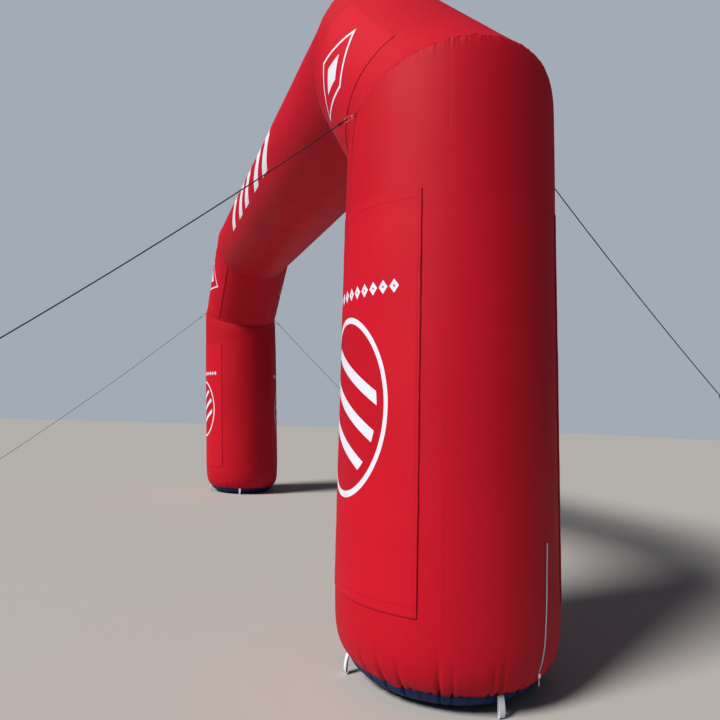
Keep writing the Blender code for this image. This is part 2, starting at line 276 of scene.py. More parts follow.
def wrapped_grid(angles, places, place_point, place_uv, closed=False):
    """A grid of cloth with a row for each place, moved to its shape, with a UV map in metres."""
    mesh = bmesh.new()
    across, along = len(angles) - 1, len(places) - 1
    bmesh.ops.create_grid(mesh, x_segments=across, y_segments=along, size=1.0, calc_uvs=True)
    chart = mesh.loops.layers.uv.verify()
    spots = {}
    for vert in mesh.verts:
        column, row = round((vert.co.x + 1) / 2 * across), round((vert.co.y + 1) / 2 * along)
        spots[vert] = (angles[column], places[row])
    for face in mesh.faces:
        for loop in face.loops:
            loop[chart].uv = place_uv(*spots[loop.vert])
    for vert, spot in spots.items():
        vert.co = place_point(*spot)
    if closed:
        bmesh.ops.remove_doubles(mesh, verts=mesh.verts, dist=0.00005)
    return mesh


def close_ends(mesh):
    """Fills the open ends of a tube and turns every face outwards."""
    edges = [edge for edge in mesh.edges if edge.is_boundary]
    bmesh.ops.holes_fill(mesh, edges=edges, sides=0)
    bmesh.ops.recalc_face_normals(mesh, faces=mesh.faces)


def face_outwards(mesh, tube, middle):
    """Turns a cloth patch's faces away from the tube's middle line."""
    out = tube.point(middle, tube.length / 2) - tube.point(middle + math.pi, tube.length / 2)
    if sum(face.normal.dot(out) for face in mesh.faces) < 0:
        bmesh.ops.reverse_faces(mesh, faces=mesh.faces)


# Materials


class Recipe:
    """A Principled material, and short names for the nodes that its looks are made of."""

    def __init__(self, name, colour, roughness, metallic=0.0, sheen=0.0, specular=0.5):
        self.material = bpy.data.materials.new(name)
        self.material.use_nodes = True
        self.tree = self.material.node_tree
        self.shader = self.tree.nodes["Principled BSDF"]
        self.shader.inputs["Base Color"].default_value = (*colour, 1)
        self.shader.inputs["Roughness"].default_value = roughness
        self.shader.inputs["Metallic"].default_value = metallic
        self.shader.inputs["Specular IOR Level"].default_value = specular
        self.shader.inputs["Sheen Weight"].default_value = sheen
        self.shader.inputs["Sheen Roughness"].default_value = 0.35
        self.shader.inputs["Sheen Tint"].default_value = (1.0, 0.60, 0.85, 1)
        self.places = self.tree.nodes.new("ShaderNodeTexCoord")

    def put(self, socket, value):
        if isinstance(value, bpy.types.NodeSocket):
            self.tree.links.new(value, socket)
        else:
            socket.default_value = value

    def math(self, kind, *values):
        node = self.tree.nodes.new("ShaderNodeMath")
        node.operation = kind
        for socket, value in zip(node.inputs, values):
            self.put(socket, value)
        return node.outputs[0]

    def stretch(self, vector, scale):
        node = self.tree.nodes.new("ShaderNodeMapping")
        node.inputs["Scale"].default_value = scale
        self.put(node.inputs["Vector"], vector)
        return node.outputs[0]

    def noise(self, vector, scale, detail=2.0, rough=0.5):
        node = self.tree.nodes.new("ShaderNodeTexNoise")
        node.inputs["Scale"].default_value = scale
        node.inputs["Detail"].default_value = detail
        node.inputs["Roughness"].default_value = rough
        self.put(node.inputs["Vector"], vector)
        return node.outputs[0]

    def ranged(self, value, low, high, to_low=0.0, to_high=1.0):
        node = self.tree.nodes.new("ShaderNodeMapRange")
        for socket, number in zip(node.inputs, (value, low, high, to_low, to_high)):
            self.put(socket, number)
        return node.outputs[0]

    def mix(self, share, first, second):
        node = self.tree.nodes.new("ShaderNodeMix")
        node.data_type = "RGBA"
        for socket, value in ((0, share), (6, first), (7, second)):
            self.put(node.inputs[socket], value if not isinstance(value, tuple) else (*value, 1))
        return node.outputs[2]

    def chart(self):
        """The cloth's own measures: metres round the tube from its front, and metres along it."""
        node = self.tree.nodes.new("ShaderNodeSeparateXYZ")
        self.put(node.inputs[0], self.places.outputs["UV"])
        return node.outputs[0], node.outputs[1]

    def bump(self, height, distance, before=None):
        node = self.tree.nodes.new("ShaderNodeBump")
        node.inputs["Distance"].default_value = distance
        self.put(node.inputs["Height"], height)
        if before is not None:
            self.put(node.inputs["Normal"], before)
        return node.outputs[0]

    def colour(self, value):
        self.put(self.shader.inputs["Base Color"], value)

    def rough(self, value):
        self.put(self.shader.inputs["Roughness"], value)

    def normal(self, value):
        self.put(self.shader.inputs["Normal"], value)
        return self.material


RED = (0.565, 0.0085, 0.0310)
RED_DEEP = (0.515, 0.0070, 0.0265)
# Painted shade inside the gaping front seam below each leg's rope tab
SLIT_PAINTED_SHADE = (0.030, 0.001, 0.002)
WHITE_INK = (0.76, 0.78, 0.90)


def lay_colour(recipe, under, shape, colour):
    """Lays one flat colour over what is under it: print, or the painted shade in a seam's slit. shape is 1
    where the colour lies.
    """
    return recipe.mix(shape, under, colour)


def inside(recipe, value, low, high):
    """1 where value lies between low and high."""
    above = recipe.math("GREATER_THAN", value, low)
    return recipe.math("MULTIPLY", above, recipe.math("LESS_THAN", value, high))


def both(recipe, *shapes):
    """1 where every shape is 1."""
    total = shapes[0]
    for shape in shapes[1:]:
        total = recipe.math("MULTIPLY", total, shape)
    return total


def either(recipe, *shapes):
    """1 where any shape is 1."""
    total = shapes[0]
    for shape in shapes[1:]:
        total = recipe.math("MAXIMUM", total, shape)
    return total


def red_recipe(name):
    """The matt red cloth that the tubes and banners share."""
    return Recipe(name, RED, 0.6, sheen=0.04, specular=0.20)


def weave(recipe, pitch, height):
    """Threads over and under each other, from the cloth's own measures."""
    across, along = recipe.chart()
    turns = 2 * math.pi / pitch
    over = recipe.math("SINE", recipe.math("MULTIPLY", across, turns))
    under = recipe.math("SINE", recipe.math("MULTIPLY", along, turns))
    return recipe.math("MULTIPLY", recipe.math("MULTIPLY", over, under), height)


CHEVRONS = (-1.07, -0.55, -0.13, 0.43, 0.87)  # along the beam from its middle
CHEVRON_LOW = -0.218  # round the beam, up from the middle of its front
CHEVRON_HIGH = 0.335
CHEVRON_HALF = 0.112
CHEVRON_TIP = 0.085
CHEVRON_LEAN = 0.75


def add_chevrons(recipe, across, along, under):
    """Prints a row of bold chevrons on the front of the beam."""
    middle = (CHEVRON_LOW + CHEVRON_HIGH) / 2
    off_middle = recipe.math("ABSOLUTE", recipe.math("SUBTRACT", across, middle))
    lean = recipe.math("MULTIPLY", off_middle, CHEVRON_LEAN)
    shapes = []
    for centre in CHEVRONS:
        off = recipe.math("ADD", recipe.math("SUBTRACT", along, BEAM_X + centre + CHEVRON_TIP), lean)
        shapes.append(recipe.math("LESS_THAN", recipe.math("ABSOLUTE", off), CHEVRON_HALF))
    shape = both(recipe, either(recipe, *shapes), inside(recipe, across, CHEVRON_LOW, CHEVRON_HIGH))
    return lay_colour(recipe, under, shape, WHITE_INK)


def cloth(name, low_seam, high_seam, full, slit=False, chevrons=False):
    """Red blown-up cloth, puckered along its seams. The seams are places along the tube. With slit, painted
    shade darkens the gaping front seam below the rope tab.
    """
    recipe = red_recipe(name)
    across, along = recipe.chart()
    spot = recipe.places.outputs["Object"]
    fade = recipe.ranged(recipe.noise(spot, 1.3, 4), 0.3, 0.7)
    tone = recipe.mix(fade, RED, RED_DEEP)
    # Painted shade: a dark strip, narrowing downwards, where the front seam gapes below the rope tab
    if slit:
        off = recipe.math("ABSOLUTE", recipe.math("SUBTRACT", across, math.radians(SLIT[0]) * full))
        down = recipe.math("SUBTRACT", high_seam, along)
        half = recipe.ranged(down, 0.0, SLIT_LONG, SLIT_HALF, 0.0)
        slit_shade_mask = both(recipe, recipe.math("LESS_THAN", off, half), recipe.math("LESS_THAN", down, SLIT_LONG))
        tone = lay_colour(recipe, tone, slit_shade_mask, SLIT_PAINTED_SHADE)
    if chevrons:
        tone = add_chevrons(recipe, across, along, tone)
    recipe.colour(tone)
    recipe.rough(recipe.ranged(recipe.noise(spot, 3.0, 3), 0.2, 0.8, 0.52, 0.66))

    low_away = recipe.math("ABSOLUTE", recipe.math("SUBTRACT", along, low_seam))
    high_away = recipe.math("ABSOLUTE", recipe.math("SUBTRACT", along, high_seam))
    away = recipe.math("MINIMUM", low_away, high_away)
    near = recipe.ranged(away, 0.002, 0.085, 1.0, 0.0)
    ticks = recipe.noise(recipe.stretch(recipe.places.outputs["UV"], (1.0, 0.10, 1.0)), 62, 2)
    puckers = recipe.math("MULTIPLY", recipe.math("MULTIPLY", near, near), ticks)
    height = recipe.math("MULTIPLY", puckers, 0.0130)
    off_stitch = recipe.math("ABSOLUTE", recipe.math("SUBTRACT", away, 0.010))
    thread = recipe.math("LESS_THAN", off_stitch, 0.0009)

    front = recipe.math("LESS_THAN", recipe.math("ABSOLUTE", across), PANEL_ANGLE * full / 2)
    even = recipe.math("ADD", across, recipe.math("MULTIPLY", front, FRONT_SHIFT * full))
    beside = recipe.math("PINGPONG", even, PANEL_ANGLE * full / 2)
    beside = recipe.math("MINIMUM", beside, 1.0)
    close = recipe.ranged(beside, 0.002, 0.035, 1.0, 0.0)
    pulls = recipe.noise(recipe.stretch(recipe.places.outputs["UV"], (0.12, 1.0, 1.0)), 48, 2)
    seam = recipe.math("MULTIPLY", recipe.math("MULTIPLY", close, close), pulls)
    height = recipe.math("ADD", height, recipe.math("MULTIPLY", seam, 0.0012))
    row = recipe.math("MULTIPLY", recipe.math("LESS_THAN", beside, 0.0012), 0.8)
    thread = recipe.math("MAXIMUM", thread, row)

    slack = recipe.noise(recipe.stretch(recipe.places.outputs["UV"], (0.35, 1.0, 1.0)), 11, 3)
    height = recipe.math("ADD", height, recipe.math("MULTIPLY", slack, 0.0016))
    fine = recipe.math("SUBTRACT", weave(recipe, 0.0016, 0.00010), recipe.math("MULTIPLY", thread, 0.0008))
    return recipe.normal(recipe.bump(recipe.math("ADD", height, fine), 1.0))


def base_cloth():
    """Heavier blue coated cloth, scuffed and dusty where it meets the ground."""
    recipe = Recipe("blue_base_cloth", (0.003, 0.026, 0.100), 0.6, sheen=0.04, specular=0.25)
    spot = recipe.places.outputs["Object"]
    split = recipe.tree.nodes.new("ShaderNodeSeparateXYZ")
    recipe.put(split.inputs[0], spot)
    low = recipe.ranged(split.outputs[2], 0.0, 0.055, 1.0, 0.0)
    scuffs = recipe.ranged(recipe.noise(spot, 26, 6, 0.65), 0.45, 0.7)
    dust = recipe.math("MULTIPLY", recipe.math("MULTIPLY", low, scuffs), 0.25)
    tone = recipe.mix(recipe.noise(spot, 5, 4), (0.0020, 0.024, 0.100), (0.0040, 0.040, 0.155))
    recipe.colour(recipe.mix(dust, tone, (0.21, 0.20, 0.18)))
    creases = recipe.noise(recipe.stretch(recipe.places.outputs["UV"], (1.0, 0.25, 1.0)), 40, 3)
    height = recipe.math("ADD", recipe.math("MULTIPLY", creases, 0.006), weave(recipe, 0.002, 0.0002))
    return recipe.normal(recipe.bump(height, 1.0))


def banner_ground(recipe, width, ends):
    """Colour and relief that every banner has: hems, rows of stitches and slight ripples."""
    across, along = recipe.chart()
    spot = recipe.places.outputs["Object"]
    fade = recipe.ranged(recipe.noise(spot, 1.7, 4), 0.3, 0.7)
    tone = recipe.mix(fade, (RED[0] * 1.06, RED[1] * 1.2, RED[2] * 1.1), RED)
    recipe.rough(recipe.ranged(recipe.noise(spot, 3.4, 3), 0.2, 0.8, 0.54, 0.68))
    from_low, from_high = recipe.math("SUBTRACT", along, ends[0]), recipe.math("SUBTRACT", ends[1], along)
    edge = recipe.math("MINIMUM", from_low, from_high)
    side = recipe.math("SUBTRACT", width / 2, recipe.math("ABSOLUTE", across))
    doubled = either(recipe, recipe.math("LESS_THAN", edge, HEM), recipe.math("LESS_THAN", side, SIDE_HEM))
    rows = []
    for where, value in ((HEM - 0.004, edge), (0.006, edge), (SIDE_HEM - 0.002, side)):
        off = recipe.math("ABSOLUTE", recipe.math("SUBTRACT", value, where))
        rows.append(recipe.math("LESS_THAN", off, STITCH_HALF))
    stitches = either(recipe, *rows)
    pulls = recipe.noise(recipe.stretch(recipe.places.outputs["UV"], (1.0, 0.22, 1.0)), 38, 2)
    hem_pull = recipe.math("MULTIPLY", recipe.ranged(edge, 0.0, 0.10, 1.0, 0.0), pulls)
    height = recipe.math("MULTIPLY", hem_pull, 0.0020)
    height = recipe.math("ADD", height, recipe.math("MULTIPLY", doubled, 0.0010))
    height = recipe.math("SUBTRACT", height, recipe.math("MULTIPLY", stitches, 0.0012))
    height = recipe.math("ADD", height, weave(recipe, 0.0016, 0.00010))
    recipe.normal(recipe.bump(height, 1.0))
    return across, along, tone


OVAL_MIDDLE = 1.390  # height up the leg
OVAL_HALF = (0.340, 0.470)  # half its width and half its height
OVAL_EDGE = 0.93
BAND_STEP = 0.200
BAND_HALF = 0.034
LOZENGE_ROW = 1.982  # height of the row of lozenges
LOZENGE_STEP = 0.033


def leg_banner_cloth():
    """A plain oval frame with three slanted bands, and a row of small lozenges above it."""
    recipe = red_recipe("printed_leg_banner")
    width = 2 * LEG_BANNER[0] * TUBE_RADIUS
    across, along, tone = banner_ground(recipe, width, LEG_BANNER[1:])
    wide = recipe.math("ABSOLUTE", across)
    rise = recipe.math("SUBTRACT", along, OVAL_MIDDLE)
    aside = recipe.math("DIVIDE", across, OVAL_HALF[0])
    above = recipe.math("DIVIDE", rise, OVAL_HALF[1])
    far = recipe.math("SQRT", recipe.math(
        "ADD", recipe.math("MULTIPLY", aside, aside), recipe.math("MULTIPLY", above, above)))
    tone = lay_colour(recipe, tone, recipe.math("LESS_THAN", far, 1.0), WHITE_INK)
    tone = lay_colour(recipe, tone, recipe.math("LESS_THAN", far, OVAL_EDGE), RED_DEEP)
    slant = recipe.math("ADD", rise, recipe.math("MULTIPLY", across, 0.6))
    bands = both(
        recipe, recipe.math("LESS_THAN", recipe.math("PINGPONG", slant, BAND_STEP / 2), BAND_HALF),
        recipe.math("LESS_THAN", recipe.math("ABSOLUTE", slant), 1.25 * BAND_STEP),
        recipe.math("LESS_THAN", far, 0.80),
    )
    tone = lay_colour(recipe, tone, bands, WHITE_INK)

    beat = recipe.math("PINGPONG", recipe.math("ADD", across, LOZENGE_STEP), LOZENGE_STEP)
    tall = recipe.math("ABSOLUTE", recipe.math("SUBTRACT", along, LOZENGE_ROW))
    lozenge = recipe.math("ADD", recipe.math("DIVIDE", beat, 0.028), recipe.math("DIVIDE", tall, 0.036))
    row = both(recipe, recipe.math("LESS_THAN", lozenge, 1.0), recipe.math("LESS_THAN", wide, 0.389))
    hollow = recipe.math("LESS_THAN", lozenge, 0.22)
    shape = recipe.math("SUBTRACT", row, recipe.math("MULTIPLY", row, hollow))
    recipe.colour(lay_colour(recipe, tone, shape, WHITE_INK))
    return recipe.material


DIAMOND_MIDDLE = (0.010, 0.745)  # round and along the shoulder
DIAMOND_HALF = (0.310, 0.280)


def shoulder_banner_cloth():
    """A plain diamond: an outline with a solid one in its middle."""
    recipe = red_recipe("printed_shoulder_banner")
    width = 2 * SHOULDER_BANNER[0] * SLIM_RADIUS
    across, along, tone = banner_ground(recipe, width, SHOULDER_BANNER[1:])
    aside = recipe.math("ABSOLUTE", recipe.math("SUBTRACT", across, DIAMOND_MIDDLE[0]))
    above = recipe.math("ABSOLUTE", recipe.math("SUBTRACT", along, DIAMOND_MIDDLE[1]))
    far = recipe.math(
        "ADD", recipe.math("DIVIDE", aside, DIAMOND_HALF[0]), recipe.math("DIVIDE", above, DIAMOND_HALF[1]))
    shape = either(recipe, inside(recipe, far, 0.88, 1.0), recipe.math("LESS_THAN", far, 0.42))
    recipe.colour(lay_colour(recipe, tone, shape, WHITE_INK))
    return recipe.material


def webbing_cloth():
    """White woven strap with a raised weave."""
    recipe = Recipe("white_webbing", (0.84, 0.89, 1.0), 0.75, sheen=0.2)
    spot = recipe.places.outputs["Object"]
    recipe.colour(recipe.mix(recipe.noise(spot, 30, 4), (0.76, 0.83, 0.98), (0.88, 0.92, 1.0)))
    return recipe.normal(recipe.bump(weave(recipe, 0.0024, 0.00035), 1.0))


def cord_cloth():
    """Black braid, its strands drawn as fine noise in colour and relief."""
    recipe = Recipe("black_braid", (0.014, 0.014, 0.015), 0.62)
    spot = recipe.places.outputs["Object"]
    strands = recipe.noise(spot, 420, 2)
    recipe.colour(recipe.mix(strands, (0.008, 0.008, 0.009), (0.035, 0.035, 0.038)))
    return recipe.normal(recipe.bump(strands, 0.0008))


def steel_finish():
    """Bright zinc plate, a little dulled and scratched."""
    recipe = Recipe("plated_steel", (0.90, 0.90, 0.92), 0.34, metallic=1.0)
    spot = recipe.places.outputs["Object"]
    recipe.rough(recipe.ranged(recipe.noise(spot, 240, 4), 0.2, 0.8, 0.24, 0.44))
    recipe.colour(recipe.mix(recipe.noise(spot, 90, 3), (0.84, 0.85, 0.88), (0.95, 0.95, 0.97)))
    return recipe.normal(recipe.bump(recipe.noise(spot, 900, 2), 0.0001))


def zip_finish():
    """Pale moulded zip: fine teeth in step along it, with painted shade between the teeth."""
    recipe = Recipe("pale_zip", (0.56, 0.62, 0.76), 0.5)
    across, along = recipe.chart()
    teeth = recipe.math("SINE", recipe.math("MULTIPLY", along, 2 * math.pi / 0.0028))
    tape = recipe.math("GREATER_THAN", recipe.math("ABSOLUTE", across), 0.0030)
    # The dark between the teeth is painted shade; the pale crests are the teeth's own colour
    tone = recipe.mix(recipe.ranged(teeth, -1, 1), (0.36, 0.42, 0.54), (0.70, 0.77, 0.92))
    recipe.colour(recipe.mix(tape, tone, (0.52, 0.58, 0.72)))
    bare = recipe.math("SUBTRACT", 1.0, tape)
    height = recipe.math("MULTIPLY", recipe.math("MULTIPLY", teeth, bare), 0.0004)
    return recipe.normal(recipe.bump(height, 1.0))


# Pieces


def tube_angles(close_degrees):
    """Angles round a tube, closer together at its creases and panel seams."""
    close = [math.radians(value) for value in close_degrees]
    close = [turned(value) for value in close]
    close += [math.pi, -math.pi]
    return stations(-math.pi, math.pi, 0.0262, close, 0.008, 0.05)


def make_leg(side, finish):
    tube = leg_tube(side)
    creases = [row[0] for row in GATHERS if row[1] > 0.009]
    angles = tube_angles(list(PANELS) + creases)
    low, high = SEAM_HEIGHT + SEAM_GAP, LEG_TOP - SEAM_GAP
    places = stations(low, high, 0.040, (low, high), 0.005, 0.30)

    def spot(angle, place):
        height = place - low
        lift = -gather_dip(angle, height) - panel_dip(tube, angle, place) * min(1.0, height / 0.10)
        lift -= soft_dip(tube, angle, place) * min(1.0, height / 0.15, (high - place) / 0.10)
        lift -= mitre_dip(tube, angle, high - place)
        slit = turned(angle - math.radians(SLIT[0])) * tube.full
        lift -= SLIT[1] * dip(slit, 0.0090) * math.exp(-((high - place) / SLIT[2]) ** 2 / 2)
        drop = seam_rise(angle, tube.seed) * math.exp(-height / 0.05)
        return tube.point(angle, place + drop, lift, slanted=True)

    mesh = wrapped_grid(angles, places, spot, lambda angle, place: (angle * TUBE_RADIUS, place), closed=True)
    close_ends(mesh)
    where = "right" if side > 0 else "left"
    obj = piece(f"leg_cloth_{where}", mesh, finish)
    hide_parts(f"leg_{where}")
    return obj


FOOT_PROFILE = (  # height, radius, how much the gathers show
    (0.100, 0.5170, 1.0), (0.092, 0.5145, 0.9), (0.083, 0.5100, 0.75), (0.073, 0.5030, 0.6),
    (0.063, 0.4930, 0.45), (0.053, 0.4830, 0.35), (0.043, 0.4700, 0.27), (0.034, 0.4570, 0.20),
    (0.025, 0.4400, 0.14), (0.017, 0.4220, 0.09), (0.010, 0.4030, 0.05), (0.004, 0.3800, 0.02),
    (0.000, 0.3540, 0.0),
)


def make_foot(side, finish):
    """The bulging base panel: rings from the seam down to where it presses flat on the ground."""
    tube = leg_tube(side)
    angles = tube_angles([row[0] for row in GATHERS if row[1] > 0.009])
    rows = list(range(len(FOOT_PROFILE)))

    def spot(angle, row):
        height, radius, share = FOOT_PROFILE[int(row)]
        above = tube.start + tube.way * height
        radius -= gather_dip(angle, 0.0) * share * 0.9
        radius += 0.004 * share * ripple(angle * 7.0, tube.seed, 3.0)
        drop = seam_rise(angle, tube.seed) * share
        out = Vector((side * radius * math.sin(angle), -radius * math.cos(angle), drop))
        return above + out

    mesh = wrapped_grid(
        angles, rows, spot, lambda angle, row: (angle * 0.5, FOOT_PROFILE[int(row)][0] * 1.6), closed=True
    )
    close_ends(mesh)
    where = "right" if side > 0 else "left"
    obj = piece(f"foot_cloth_{where}", mesh, finish)
    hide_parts(f"foot_{where}")
    return obj


def make_span(tube, name, node, finish, step):
    """A shoulder or the beam: a tube with a slanted seam at each end."""
    angles = tube_angles(PANELS)
    low, high = SEAM_GAP, tube.length - SEAM_GAP
    places = stations(low, high, step, (low, high), 0.006, 0.30)

    def spot(angle, place):
        ends = min(place - low, high - place)
        lift = -panel_dip(tube, angle, place) - soft_dip(tube, angle, place) * min(1.0, ends / 0.10)
        lift -= mitre_dip(tube, angle, ends)
        return tube.point(angle, place, lift, slanted=True)

    mesh = wrapped_grid(angles, places, spot, lambda angle, place: (angle * SLIM_RADIUS, place), closed=True)
    close_ends(mesh)
    obj = piece(name, mesh, finish)
    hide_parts(node)
    return obj


def make_banner(tube, name, node, finish, middle, half, ends, loose):
    """One sewn-on banner: doubled hems, long edges that stand off in slow ripples, the more so if loose."""
    angles = stations(-half, half, 0.022, (-half, half), 0.010, 0.10)
    places = stations(ends[0], ends[1], 0.026, ends, 0.0045, 0.16)
    width = half * tube.full

    def spot(angle, place):
        side = width - abs(angle) * tube.full
        end = min(place - ends[0], ends[1] - place)
        sway = 0.5 + 0.5 * ripple(place * 4.1, tube.seed + middle, math.copysign(3.0, angle))
        flare = loose * (0.0004 + 0.0050 * sway) * math.exp(-side / 0.020) * min(1.0, end / 0.08 + 0.20)
        lift = 0.0016 + flare - soft_dip(tube, middle + angle, place)
        lift += 0.0005 * ripple(angle * 7, place * 9, tube.seed + middle)
        hem = math.exp(-(((end - 0.052) / 0.007) ** 2)) + 0.8 * math.exp(-(((end - 0.070) / 0.006) ** 2))
        lift += 0.0010 * hem * (0.6 + 0.8 * ripple(angle * 6, middle, end * 9))
        lift += 0.0005 * math.exp(-end / 0.02)
        corner = math.exp(-end / 0.04) * math.exp(-side / 0.12)
        lift += 0.0012 * ripple(angle * 26, end * 34, tube.seed) * corner
        fold = math.exp(-(((side - 0.030 - 0.006 * ripple(place * 3, middle, angle)) / 0.009) ** 2))
        lift += 0.0036 * fold * max(0.0, 0.45 + ripple(place * 5.0, tube.seed + middle, 6.0)) * loose
        edge = 0.0030 * ripple(place * 9.0, tube.seed, middle + 4.0) * (angle / half)
        return tube.point(middle + angle + edge / tube.full, place, lift)

    def chart(angle, place):
        return angle * tube.full, place

    mesh = wrapped_grid(angles, places, spot, chart)
    mesh.normal_update()
    face_outwards(mesh, tube, middle)
    obj = piece(name, mesh, finish)
    solid = obj.modifiers.new("Cloth", "SOLIDIFY")
    solid.thickness = 0.0014
    solid.offset = 1
    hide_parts(node)
    return obj


def make_webbing_loop(side, name, angle, facing, finish):
    """A strap sewn into the base seam by both ends."""
    tube = leg_tube(side)
    centre = tube.start + tube.way * SEAM_HEIGHT
    out = Vector((*facing, 0))
    across = Vector((-facing[1], facing[0], 0))
    spot = Vector((math.sin(math.radians(angle)), -math.cos(math.radians(angle)), 0))
    beside = BASE_RADIUS * spot.dot(across)
    nearest = max(0.0, abs(beside) - WEBBING_WIDTH / 2)
    reach = math.sqrt(BASE_RADIUS**2 - nearest**2) + 0.001
    base = centre + across * (beside - WEBBING_WIDTH / 2) + out * reach
    base.z = 0
    outline = smooth_loop(LOOP_OUTLINE, 3)
    mesh = bmesh.new()
    rims = []
    for thick in (0.0, WEBBING_THICK):
        verts = []
        for i, (reach, height) in enumerate(outline):
            before, after = outline[i - 1], outline[(i + 1) % len(outline)]
            inward = Vector((after[1] - before[1], before[0] - after[0])).normalized() * thick
            verts.append(mesh.verts.new(base + out * (reach + inward.x) + Vector((0, 0, height + inward.y))))
        rims.append([mesh.edges.new(pair) for pair in zip(verts, verts[1:] + verts[:1])])
    faces = bmesh.ops.bridge_loops(mesh, edges=rims[0] + rims[1])["faces"]
    extruded = bmesh.ops.extrude_face_region(mesh, geom=faces)["geom"]
    moved = [item for item in extruded if isinstance(item, bmesh.types.BMVert)]
    bmesh.ops.translate(mesh, verts=moved, vec=across * WEBBING_WIDTH)
    bmesh.ops.recalc_face_normals(mesh, faces=mesh.faces)
    chart = mesh.loops.layers.uv.verify()
    for face in mesh.faces:
        for loop in face.loops:
            flat = loop.vert.co - base
            loop[chart].uv = (flat.dot(across), flat.z + flat.dot(out))
    where = "right" if side > 0 else "left"
    obj = piece(f"webbing_{where}_{name}", mesh, finish)
    obj.data.set_sharp_from_angle(angle=math.radians(50))
    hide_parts(f"loop_{where}_{name}")
    return obj


def smooth_loop(rows, parts):
    """A closed outline with each of its sides cut into parts along a smooth curve."""
    spots = [Vector(row) for row in rows]
    count = len(spots)
    outline = []
    for i in range(count):
        before, first, last, after = (spots[(i + shift) % count] for shift in (-1, 0, 1, 2))
        for step in range(parts):
            t = step / parts
            outline.append(0.5 * (
                2 * first + (last - before) * t + (2 * before - 5 * first + 4 * last - after) * t**2
                + (3 * first - before - 3 * last + after) * t**3
            ))
    return outline


def rope_frame(side, face):
    """Its axes are across the rope, up from it and along it. face is -1 at the front, 1 at the back."""
    way = Vector((0, face * math.cos(ROPE_SLOPE), -math.sin(ROPE_SLOPE)))
    up = Vector((0, face * math.sin(ROPE_SLOPE), math.cos(ROPE_SLOPE)))
    across = Vector((-face, 0, 0))
    axes = Matrix((across, up, way)).transposed().to_4x4()
    axes.translation = (side * TOP_X, ARCH_Y + face * SEAM_RADIUS, LEG_TOP)
    return axes


def oval(near, far, half_width, count):
    """The middle line of a long ring, as places across and along it."""
    straight = (far - near) - 2 * half_width
    spots = []
    for step in range(count):
        angle = 2 * math.pi * (step + 0.5) / count
        along = math.sin(angle) * half_width
        along += straight / 2 if along > 0 else -straight / 2
        spots.append((math.cos(angle) * half_width, (near + far) / 2 + along))
    return spots


def wire(name, points, diameter, finish, closed=True, sides=4):
    """A round bar or rope along the points, as a curve."""
    data = bpy.data.curves.new(name, "CURVE")
    data.dimensions = "3D"
    data.bevel_depth = diameter / 2
    data.bevel_resolution = sides
    data.use_fill_caps = True
    spline = data.splines.new("POLY")
    spline.points.add(len(points) - 1)
    for spot, co in zip(spline.points, points):
        spot.co = (*co, 1)
    spline.use_cyclic_u = closed
    data.materials.append(finish)
    obj = bpy.data.objects.new(name, data)
    bpy.context.scene.collection.objects.link(obj)
    return obj


def make_knot(name, node, axes, place, eye, finish):
    """Two turns of rope drawn tight round the standing part, and the eye that they close."""
    turns, steps = 2.6, 40
    points = []
    for step in range(steps + 1):
        t = step / steps
        angle = 2 * math.pi * turns * t
        swell = 0.0030 + 0.0032 * math.sin(math.pi * t)
        points.append(axes @ Vector((
            swell * math.cos(angle), swell * math.sin(angle), place - 0.0095 + 0.019 * t)))
    lay = wire(name + "_lay", points, ROPE_DIAMETER * 0.92, finish, closed=False)
    ring = [axes @ Vector((across, 0, along)) for across, along in oval(*eye, 24)]
    bend = wire(name + "_bend", ring, ROPE_DIAMETER * 0.94, finish)
    bpy.context.view_layer.update()
    mesh = bmesh.new()
    for guide in (lay, bend):
        made = bpy.data.meshes.new_from_object(guide.evaluated_get(bpy.context.evaluated_depsgraph_get()))
        mesh.from_mesh(made)
        bpy.data.objects.remove(guide)
    obj = piece(name, mesh, finish)
    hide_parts(node)
    return obj


def make_guy_rope(side, face, cord, steel, red):
    """Hitch, rope and far eye at one side of a leg's top seam."""
    where = ("right" if side > 0 else "left") + ("_front" if face < 0 else "_back")
    axes = rope_frame(side, face)
    length = ROPE_REACH[side] - ROPE_START
    points = []
    for step in range(ROPE_POINTS):
        t = step / (ROPE_POINTS - 1)
        points.append(axes @ Vector((0, -4 * ROPE_SAG * length * t * (1 - t), ROPE_START + length * t)))
    far = ROPE_REACH[side]
    near_eye, far_eye = (LOOP_NEAR, KNOT_AT - 0.004, 0.0075), (far + 0.018, far + 0.075, 0.012)
    hitch = make_knot(f"hitch_rope_{where}", f"hitch_{where}", axes, KNOT_AT, near_eye, cord)
    end = make_knot(f"end_rope_{where}", f"end_{where}", axes, far + 0.015, far_eye, cord)
    rope = wire(f"guy_rope_{where}", points, ROPE_DIAMETER, cord, closed=False, sides=3)
    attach(rope, "root")
    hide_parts(f"rope_{where}")
    for node, finish in (("tab", red), ("ring", steel), ("hook", steel)):
        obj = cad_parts[f"{node}_{where}"]
        obj.data.materials.clear()
        obj.data.materials.append(finish)


